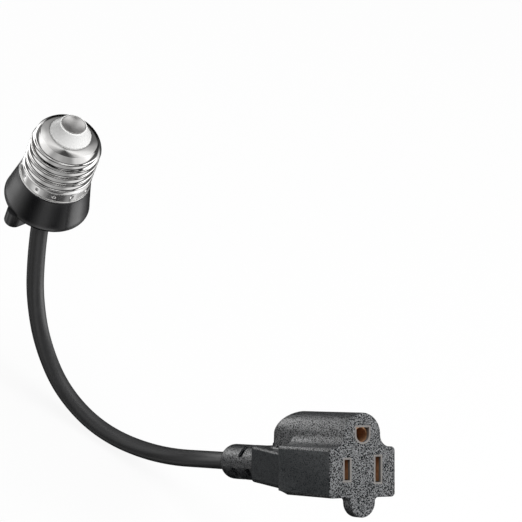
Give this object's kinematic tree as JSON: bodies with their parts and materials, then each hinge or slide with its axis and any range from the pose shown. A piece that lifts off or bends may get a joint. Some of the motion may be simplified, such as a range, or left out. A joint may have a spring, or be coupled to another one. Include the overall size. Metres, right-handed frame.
{
  "type": "lamp socket adapter",
  "caption": "Lamp socket adapter: a screw base that fits a lamp holder, joined by a short flexible cord to a moulded grounded outlet with a pull tab.",
  "frame": {"origin": "On the screw base's axis, at the middle of the shell's plain band.", "axes": "+Z runs along the screw base's axis to the centre contact, up into the lamp holder. The outlet's axis is parallel to the XZ plane and its face points to +X and +Z. +Y completes the right-handed frame."},
  "size_m": [0.1724, 0.0831, 0.1377],
  "materials": {
    "nickel": "bright",
    "tip_metal": "satin",
    "core_white": "satin",
    "collar_black": "semi-gloss",
    "cap_black": "matt",
    "cord_black": "smooth",
    "outlet_charcoal": "fine grain",
    "carrier_grey": "matt",
    "contact_brass": "satin",
    "terminal_brass": "satin",
    "crimp_steel": "satin",
    "lead_black": "smooth",
    "lead_white": "smooth",
    "lead_green": "smooth",
    "cap_nylon": "matt"
  },
  "bodies": {
    "root": {"centre_contact": "tip_metal", "base_core": "core_white", "screw_shell": "nickel", "collar": "collar_black", "collar_cap": "cap_black", "cord_anchor": "crimp_steel", "live_terminal": "terminal_brass", "neutral_terminal": "terminal_brass", "live_lead_head": "lead_black", "neutral_lead_head": "lead_white", "ground_lead_head": "lead_green", "ground_end_cap": "cap_nylon", "cord": "cord_black", "outlet_housing": "outlet_charcoal", "contact_carrier": "carrier_grey", "carrier_cover": "carrier_grey", "live_contact": "contact_brass", "neutral_contact": "contact_brass", "ground_contact": "contact_brass", "live_lead_outlet": "lead_black", "neutral_lead_outlet": "lead_white", "ground_lead_outlet": "lead_green"}
  },
  "joints": []
}
